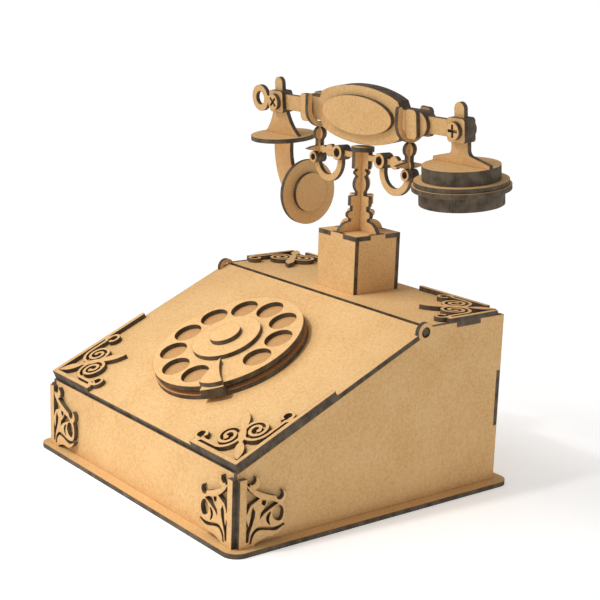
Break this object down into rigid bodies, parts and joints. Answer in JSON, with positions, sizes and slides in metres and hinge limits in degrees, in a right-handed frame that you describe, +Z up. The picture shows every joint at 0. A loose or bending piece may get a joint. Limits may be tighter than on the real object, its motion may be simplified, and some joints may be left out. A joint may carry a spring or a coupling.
{
  "type": "telephone shaped storage box",
  "caption": "Box with a sloping hinged lid and finger dial, carrying a column with forks that hold a lift-off handset; built up from flat cut board",
  "frame": {"origin": "middle of the base plate's underside", "axes": "+X to the right of someone facing the front, -Y to the front, +Z up"},
  "size_m": [0.2411, 0.216, 0.2443],
  "materials": {
    "cut_board": "raw fibre board, matt, with charred cut edges"
  },
  "bodies": {
    "box": {"base_plate": "cut_board", "front_panel": "cut_board", "back_panel": "cut_board", "side_panel_left": "cut_board", "side_panel_right": "cut_board", "top_panel": "cut_board", "pedestal_front": "cut_board", "pedestal_back": "cut_board", "pedestal_left": "cut_board", "pedestal_right": "cut_board", "pedestal_top": "cut_board", "cradle_plate": "cut_board", "column_plate": "cut_board", "column_cap": "cut_board", "fork_left": "cut_board", "fork_right": "cut_board", "knob_rings_front": "cut_board", "knob_rings_back": "cut_board", "front_scroll_left": "cut_board", "front_scroll_right": "cut_board", "side_scroll_left": "cut_board", "side_scroll_right": "cut_board", "top_scroll_left": "cut_board", "top_scroll_right": "cut_board"},
    "lid": {"lid_panel": "cut_board", "lid_scroll_left": "cut_board", "lid_scroll_right": "cut_board", "dial_base": "cut_board", "dial_spacer": "cut_board", "finger_stop": "cut_board", "finger_stop_riser": "cut_board"},
    "dial": {"dial_wheel": "cut_board", "dial_centre": "cut_board", "dial_hub": "cut_board", "dial_axle": "cut_board", "dial_retainer": "cut_board"},
    "handset": {"handset_core": "cut_board", "grip_plate_front": "cut_board", "grip_plate_back": "cut_board", "grip_oval_front": "cut_board", "grip_oval_back": "cut_board", "collar_left_front": "cut_board", "collar_left_back": "cut_board", "collar_right_front": "cut_board", "collar_right_back": "cut_board", "end_block_left_front": "cut_board", "end_block_left_back": "cut_board", "end_block_right_front": "cut_board", "end_block_right_back": "cut_board", "screw_discs_front": "cut_board", "screw_discs_back": "cut_board", "mouth_plate": "cut_board", "horn_plate": "cut_board", "mouth_disc": "cut_board", "mouth_inner_disc": "cut_board", "earpiece_upper_discs": "cut_board", "earpiece_flange": "cut_board", "earpiece_wide_disc": "cut_board", "earpiece_lower_discs": "cut_board"}
  },
  "joints": [
    {"name": "lid_hinge", "type": "hinge", "parent": "box", "child": "lid", "pos_m": [0, 0.03496, 0.108], "axis": [-1, 0, 0], "range_deg": [0, 112]},
    {"name": "dial_turn", "type": "hinge", "parent": "lid", "child": "dial", "pos_m": [0, -0.03359, 0.08592], "axis": [0, -0.4067, 0.9135], "continuous": true},
    {"name": "handset_lift", "type": "slide", "parent": "box", "child": "handset", "axis": [0, 0, 1], "range_m": [0, 0.06]}
  ]
}
